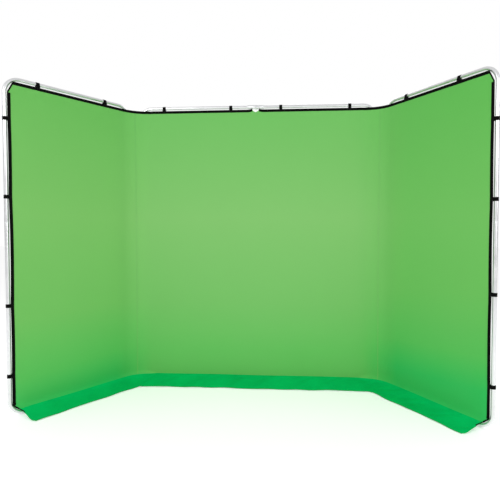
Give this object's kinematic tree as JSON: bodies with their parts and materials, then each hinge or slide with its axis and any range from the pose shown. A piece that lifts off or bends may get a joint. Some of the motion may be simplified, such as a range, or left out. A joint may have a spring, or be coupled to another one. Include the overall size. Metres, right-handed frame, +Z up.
{
  "type": "collapsible backdrop panel",
  "caption": "Free-standing chroma-green studio backdrop: tube-framed centre panel and two toed-in wings under one cloth cover, with folding centre hinge and link clamps.",
  "frame": {"origin": "on the floor under the middle of the whole backdrop as it stands with its wings toed in", "axes": "+X along the centre panel to the right as seen from the front, -Y out of the covered front, +Z up"},
  "size_m": [3.203, 0.9376, 2.3035],
  "materials": {
    "tube_aluminium": "polished, faint draw lines",
    "cast_aluminium": "satin",
    "steel": "satin",
    "black_plastic": "fine moulded texture",
    "cover_cloth": "matt stretch knit",
    "skirt_cloth": "matt stretch knit",
    "black_webbing": "ribbed woven tape"
  },
  "bodies": {
    "centre_left": {"centre_left_top_bow": "tube_aluminium", "centre_left_bottom_bow": "tube_aluminium", "centre_left_upright_upper": "tube_aluminium", "centre_left_upright_lower": "tube_aluminium", "centre_left_top_hinge_leaf": "cast_aluminium", "centre_left_bottom_hinge_leaf": "cast_aluminium", "centre_left_cover": "cover_cloth", "centre_left_hem": "black_webbing", "centre_left_skirt": "skirt_cloth", "top_hinge_pin": "steel", "bottom_hinge_pin": "steel"},
    "left_link": {"left_link_top_front_jaw": "black_plastic", "left_link_top_rear_jaw": "black_plastic", "left_link_bottom_front_jaw": "black_plastic", "left_link_bottom_rear_jaw": "black_plastic", "left_link_cover": "cover_cloth"},
    "left_link_top_knob": {"left_link_top_knob": "black_plastic"},
    "left_link_bottom_knob": {"left_link_bottom_knob": "black_plastic"},
    "left_wing": {"left_wing_top_bow": "tube_aluminium", "left_wing_bottom_bow": "tube_aluminium", "left_wing_outer_upright_upper": "tube_aluminium", "left_wing_outer_upright_lower": "tube_aluminium", "left_wing_inner_upright_upper": "tube_aluminium", "left_wing_inner_upright_lower": "tube_aluminium", "left_wing_cover": "cover_cloth", "left_wing_hem": "black_webbing", "left_wing_skirt": "skirt_cloth"},
    "centre_left_snap_button": {"centre_left_snap_button": "steel"},
    "left_wing_inner_snap_button": {"left_wing_inner_snap_button": "steel"},
    "left_wing_outer_snap_button": {"left_wing_outer_snap_button": "steel"},
    "centre_right": {"centre_right_top_bow": "tube_aluminium", "centre_right_bottom_bow": "tube_aluminium", "centre_right_upright_upper": "tube_aluminium", "centre_right_upright_lower": "tube_aluminium", "centre_right_top_hinge_leaf": "cast_aluminium", "centre_right_bottom_hinge_leaf": "cast_aluminium", "centre_right_cover": "cover_cloth", "centre_right_hem": "black_webbing", "centre_right_skirt": "skirt_cloth"},
    "right_link": {"right_link_top_front_jaw": "black_plastic", "right_link_top_rear_jaw": "black_plastic", "right_link_bottom_front_jaw": "black_plastic", "right_link_bottom_rear_jaw": "black_plastic", "right_link_cover": "cover_cloth"},
    "right_link_top_knob": {"right_link_top_knob": "black_plastic"},
    "right_link_bottom_knob": {"right_link_bottom_knob": "black_plastic"},
    "right_wing": {"right_wing_top_bow": "tube_aluminium", "right_wing_bottom_bow": "tube_aluminium", "right_wing_outer_upright_upper": "tube_aluminium", "right_wing_outer_upright_lower": "tube_aluminium", "right_wing_inner_upright_upper": "tube_aluminium", "right_wing_inner_upright_lower": "tube_aluminium", "right_wing_cover": "cover_cloth", "right_wing_hem": "black_webbing", "right_wing_skirt": "skirt_cloth"},
    "centre_right_snap_button": {"centre_right_snap_button": "steel"},
    "right_wing_inner_snap_button": {"right_wing_inner_snap_button": "steel"},
    "right_wing_outer_snap_button": {"right_wing_outer_snap_button": "steel"}
  },
  "joints": [
    {"name": "centre_fold", "type": "hinge", "parent": "centre_left", "child": "centre_right", "pos_m": [0, 0.46284, 1.15], "axis": [0, 0, 1], "range_deg": [0, 180]},
    {"name": "left_link_swing", "type": "hinge", "parent": "centre_left", "child": "left_link", "pos_m": [-0.976, 0.43284, 1.15], "axis": [0, 0, 1], "range_deg": [-28.25, 61.75], "deforming": ["centre_left_skirt", "left_wing_skirt"]},
    {"name": "left_wing_swing", "type": "hinge", "parent": "left_link", "child": "left_wing", "pos_m": [-1.05968, 0.38788, 1.15], "axis": [0, 0, 1], "range_deg": [-28.25, 61.75]},
    {"name": "left_link_top_knob_turn", "type": "hinge", "parent": "left_link", "child": "left_link_top_knob", "pos_m": [-1.01784, 0.41036, 1.95], "axis": [-0.4733, 0.8809, 0], "range_deg": [0, 180]},
    {"name": "left_link_bottom_knob_turn", "type": "hinge", "parent": "left_link", "child": "left_link_bottom_knob", "pos_m": [-1.01784, 0.41036, 0.35], "axis": [-0.4733, 0.8809, 0], "range_deg": [0, 180]},
    {"name": "centre_left_snap_button_press", "type": "slide", "parent": "centre_left", "child": "centre_left_snap_button", "axis": [0, -1, 0], "range_m": [0, 0.0035], "stiffness_N_per_m": 300, "springref_m": -0.002},
    {"name": "left_wing_inner_snap_button_press", "type": "slide", "parent": "left_wing", "child": "left_wing_inner_snap_button", "axis": [0.8339, -0.5519, 0], "range_m": [0, 0.0035], "stiffness_N_per_m": 300, "springref_m": -0.002},
    {"name": "left_wing_outer_snap_button_press", "type": "slide", "parent": "left_wing", "child": "left_wing_outer_snap_button", "axis": [-0.8339, 0.5519, 0], "range_m": [0, 0.0035], "stiffness_N_per_m": 300, "springref_m": -0.002},
    {"name": "right_link_swing", "type": "hinge", "parent": "centre_right", "child": "right_link", "pos_m": [0.976, 0.43284, 1.15], "axis": [0, 0, -1], "range_deg": [-28.25, 61.75], "deforming": ["centre_right_skirt", "right_wing_skirt"]},
    {"name": "right_wing_swing", "type": "hinge", "parent": "right_link", "child": "right_wing", "pos_m": [1.05968, 0.38788, 1.15], "axis": [0, 0, -1], "range_deg": [-28.25, 61.75]},
    {"name": "right_link_top_knob_turn", "type": "hinge", "parent": "right_link", "child": "right_link_top_knob", "pos_m": [1.01784, 0.41036, 1.95], "axis": [0.4733, 0.8809, 0], "range_deg": [0, 180]},
    {"name": "right_link_bottom_knob_turn", "type": "hinge", "parent": "right_link", "child": "right_link_bottom_knob", "pos_m": [1.01784, 0.41036, 0.35], "axis": [0.4733, 0.8809, 0], "range_deg": [0, 180]},
    {"name": "centre_right_snap_button_press", "type": "slide", "parent": "centre_right", "child": "centre_right_snap_button", "axis": [0, -1, 0], "range_m": [0, 0.0035], "stiffness_N_per_m": 300, "springref_m": -0.002},
    {"name": "right_wing_inner_snap_button_press", "type": "slide", "parent": "right_wing", "child": "right_wing_inner_snap_button", "axis": [-0.8339, -0.5519, 0], "range_m": [0, 0.0035], "stiffness_N_per_m": 300, "springref_m": -0.002},
    {"name": "right_wing_outer_snap_button_press", "type": "slide", "parent": "right_wing", "child": "right_wing_outer_snap_button", "axis": [0.8339, 0.5519, 0], "range_m": [0, 0.0035], "stiffness_N_per_m": 300, "springref_m": -0.002}
  ],
  "couplings": [
    {"joint": "left_wing_swing", "follows": "left_link_swing", "ratio": 1},
    {"joint": "right_wing_swing", "follows": "right_link_swing", "ratio": 1}
  ]
}
